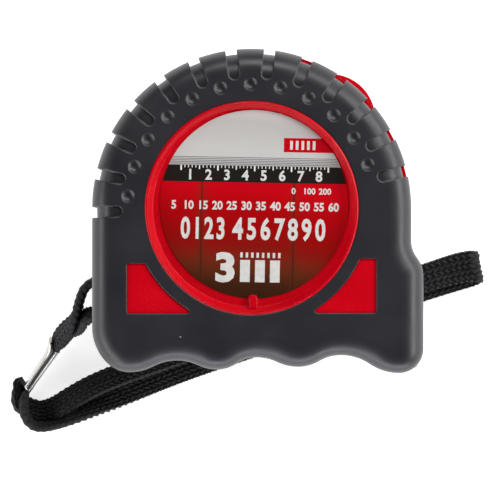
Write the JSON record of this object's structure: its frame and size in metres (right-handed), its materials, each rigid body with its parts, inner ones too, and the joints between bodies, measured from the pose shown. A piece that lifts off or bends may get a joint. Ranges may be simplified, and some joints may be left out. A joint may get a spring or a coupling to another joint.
{
  "type": "pocket tape measure",
  "caption": "Compact spring-return tape measure with rubber jackets, finger scallops, sliding lock, end hook, belt clip and a plaited wrist strap crimped by a ferrule.",
  "frame": {"origin": "on the reel's axis, in the plane of the belt clip's flat that the tape rests on", "axes": "+X the way the blade leaves, +Y towards the round top, away from the foot, +Z out of the labelled face"},
  "size_m": [0.1015, 0.0798, 0.0349],
  "materials": {
    "shell": "satin red moulding",
    "jacket": "matt charcoal rubber",
    "label": "printed foil disc",
    "moulding": "plain moulding",
    "spring": "blued spring steel",
    "blade": "lacquered spring steel",
    "steel": "bright pressed steel",
    "rivet": "bright",
    "button": "satin red moulding",
    "screw": "bright zinc",
    "strap": "plaited cord",
    "ferrule": "bright crimped sheet"
  },
  "bodies": {
    "case": {"front_shell": "shell", "rear_shell": "shell", "front_jacket": "jacket", "rear_jacket": "jacket", "front_label": "label", "arbor": "moulding", "nose_guide": "moulding", "hook_bumper": "jacket", "case_screws": "screw", "clip_screw": "screw", "strap_bar": "steel", "belt_clip": "steel", "strap_eye": "strap", "wrist_strap": "strap", "strap_ferrule": "ferrule"},
    "reel": {"reel_hub": "moulding", "reel_cap": "moulding", "blade_coil": "blade", "return_spring": "spring"},
    "blade": {"blade_end": "blade", "hook_rivets": "rivet"},
    "hook": {"end_hook": "steel"},
    "lock": {"lock_button": "button", "brake_tongue": "moulding"}
  },
  "joints": [
    {"name": "reel_turn", "type": "hinge", "parent": "case", "child": "reel", "pos_m": [0, 0, 0.0201], "axis": [0, 0, 1], "range_deg": [0, 8480], "stiffness_Nm_per_rad": 0.0004, "springref_deg": -2864.79},
    {"name": "blade_pull", "type": "slide", "parent": "case", "child": "blade", "axis": [1, 0, 0], "range_m": [0, 3]},
    {"name": "hook_play", "type": "slide", "parent": "blade", "child": "hook", "axis": [1, 0, 0], "range_m": [0, 0.001]},
    {"name": "lock_slide", "type": "hinge", "parent": "case", "child": "lock", "pos_m": [0, 0, 0.0201], "axis": [0, 0, 1], "range_deg": [-12, 0]}
  ],
  "couplings": [
    {"joint": "blade_pull", "follows": "reel_turn", "m_per_rad": 0.02025}
  ]
}
